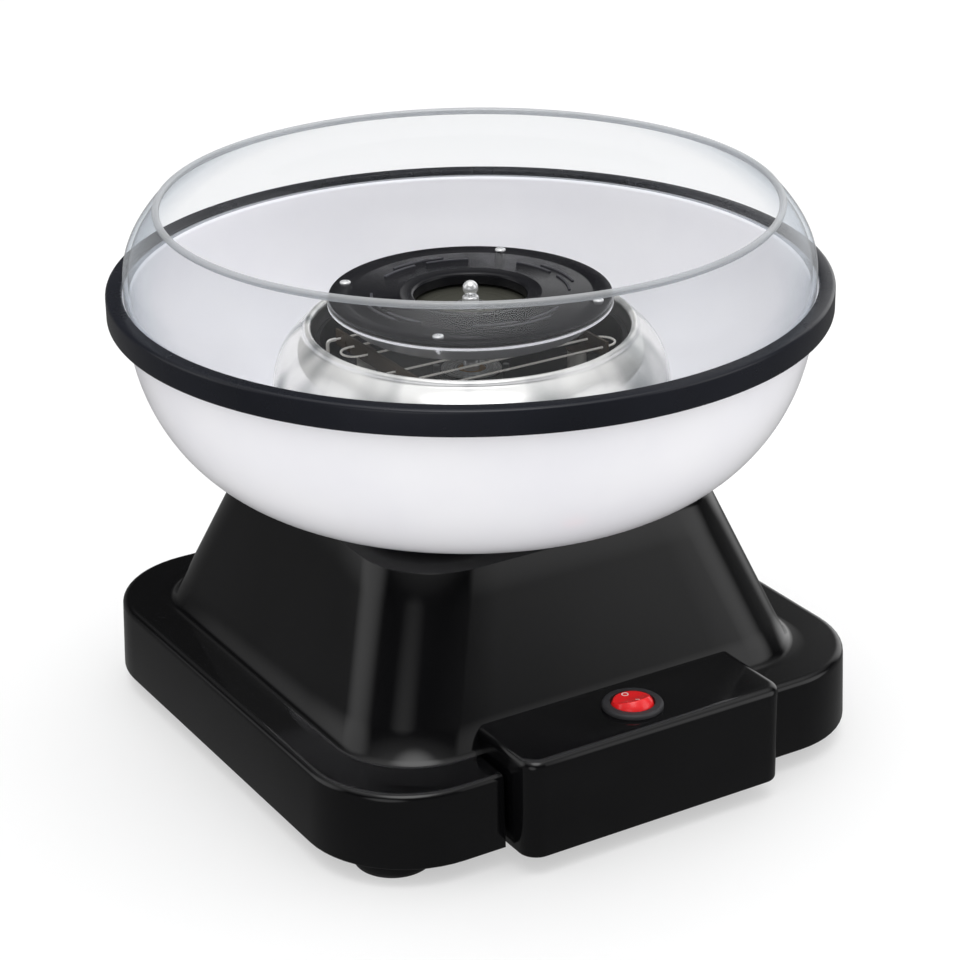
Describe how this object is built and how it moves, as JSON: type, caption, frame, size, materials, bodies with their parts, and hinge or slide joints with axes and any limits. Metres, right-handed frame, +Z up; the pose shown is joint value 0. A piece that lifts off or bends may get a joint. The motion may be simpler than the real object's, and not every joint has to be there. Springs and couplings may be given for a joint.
{
  "type": "cotton candy machine",
  "caption": "Table-top candy floss machine: square tapered base, rocker switch, round bowl with clear splash shield, spinning sugar head over a wire heater.",
  "frame": {"origin": "on the spindle axis, on the table under the suction feet", "axes": "+Z up along the spindle axis; -Y towards the control box and its switch; +X to the right seen from the control box"},
  "size_m": [0.3, 0.3, 0.2316],
  "materials": {
    "gloss_black": "high gloss black ABS",
    "matt_black": "satin black plastic",
    "ring_black": "semi-gloss black",
    "head_black": "black satin paint on aluminium",
    "rocker_red": "glossy red",
    "bowl_white": "glossy white",
    "nylon": "natural nylon",
    "clear": "clear polycarbonate",
    "mirror_steel": "polished stainless steel",
    "steel": "zinc-plated steel",
    "aluminium": "satin aluminium",
    "bronze": "sintered bronze",
    "brass": "satin brass",
    "copper": "enamelled copper",
    "carbon": "pressed carbon and ferrite",
    "ceramic": "unglazed ceramic",
    "mica": "mica board",
    "heater_wire": "oxidised resistance wire",
    "rubber_black": "soft black rubber",
    "board_green": "solder mask",
    "wire_red": "silicone insulation"
  },
  "bodies": {
    "base": {"housing": "gloss_black", "base_plate": "matt_black", "suction_feet": "rubber_black", "base_screws": "steel", "control_box": "gloss_black", "switch_body": "matt_black", "switch_terminals": "brass", "motor_can": "steel", "motor_end_cap": "matt_black", "field_magnets": "carbon", "carbon_brushes": "carbon", "brush_holders": "brass", "motor_bushes": "bronze", "motor_bracket": "steel", "rubber_grommets": "rubber_black", "motor_screws": "steel", "bracket_screws": "steel", "bearing_housing": "aluminium", "spindle_bush": "bronze", "heater_tower": "steel", "tower_screws": "steel", "heater_pan": "aluminium", "pan_screws": "steel", "ceramic_posts": "ceramic", "mica_rails": "mica", "heater_coils": "heater_wire", "thermal_fuse": "ceramic", "terminal_block": "nylon", "rectifier_board": "board_green", "board_parts": "matt_black", "internal_wires": "wire_red", "strain_relief": "gloss_black", "power_cord": "rubber_black", "plug_body": "rubber_black", "plug_blades": "brass"},
    "spindle": {"motor_shaft": "steel", "armature_core": "steel", "armature_windings": "copper", "commutator": "copper", "cooling_fan": "nylon", "shaft_coupling": "brass", "coupling_screws": "steel", "spindle": "mirror_steel", "drive_pin": "steel"},
    "head": {"head_plate": "head_black", "head_pan": "aluminium", "floss_band": "aluminium", "head_hub": "aluminium", "head_screws": "mirror_steel"},
    "bowl": {"bowl": "bowl_white", "bowl_gasket": "nylon", "rim_ring": "ring_black", "heat_guard": "mirror_steel", "guard_rivets": "mirror_steel"},
    "shield": {"splash_shield": "clear"},
    "rocker": {"rocker": "rocker_red", "rocker_pin": "steel", "rocker_plunger": "nylon"},
    "contact": {"contact_lever": "copper"}
  },
  "joints": [
    {"name": "spindle_spin", "type": "hinge", "parent": "base", "child": "spindle", "pos_m": [0, 0, 0.15], "axis": [0, 0, 1], "continuous": true},
    {"name": "head_lift", "type": "slide", "parent": "spindle", "child": "head", "axis": [0, 0, 1], "range_m": [0, 0.06]},
    {"name": "bowl_lift", "type": "slide", "parent": "base", "child": "bowl", "axis": [0, 0, 1], "range_m": [0, 0.1]},
    {"name": "shield_lift", "type": "slide", "parent": "bowl", "child": "shield", "axis": [0, 0, 1], "range_m": [0, 0.08]},
    {"name": "rocker_tilt", "type": "hinge", "parent": "base", "child": "rocker", "pos_m": [0, -0.1215, 0.049], "axis": [1, 0, 0], "range_deg": [0, 22]},
    {"name": "contact_tilt", "type": "hinge", "parent": "base", "child": "contact", "pos_m": [0, -0.1215, 0.038], "axis": [1, 0, 0], "range_deg": [-16, 0]}
  ],
  "couplings": [
    {"joint": "contact_tilt", "follows": "rocker_tilt", "ratio": -0.727}
  ]
}
